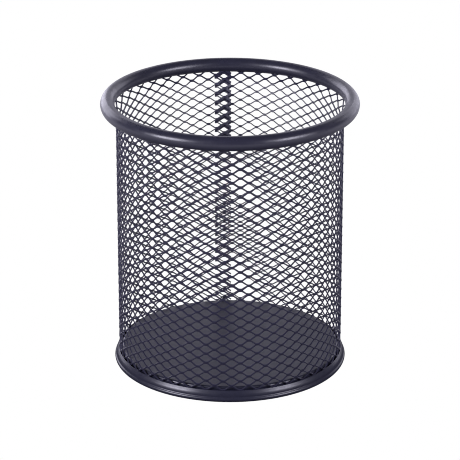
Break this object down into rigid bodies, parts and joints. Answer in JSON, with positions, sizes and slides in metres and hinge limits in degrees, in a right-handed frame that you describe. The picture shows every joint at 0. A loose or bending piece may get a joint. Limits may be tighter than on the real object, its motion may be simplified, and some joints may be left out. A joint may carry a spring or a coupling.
{
  "type": "pen holder cup",
  "caption": "Round desk cup for pens with an expanded-metal wall, a rolled tubular rim and a pressed base with a rolled foot bead, open at the top.",
  "frame": {"origin": "centre of the foot, on the surface that the cup stands on", "axes": "+Z is the cup's axis, out of its mouth; the wall's lap seam faces +Y"},
  "size_m": [0.0918, 0.0918, 0.1],
  "materials": {
    "powder_coat_rim": "satin dark blue-grey powder coat on rolled steel",
    "powder_coat_mesh": "satin dark blue-grey powder coat on expanded steel",
    "powder_coat_base": "satin dark blue-grey powder coat on pressed steel"
  },
  "bodies": {
    "root": {"mesh_wall": "powder_coat_mesh", "seam_welds": "powder_coat_mesh", "rim_tube": "powder_coat_rim", "base_pan": "powder_coat_base"}
  },
  "joints": []
}
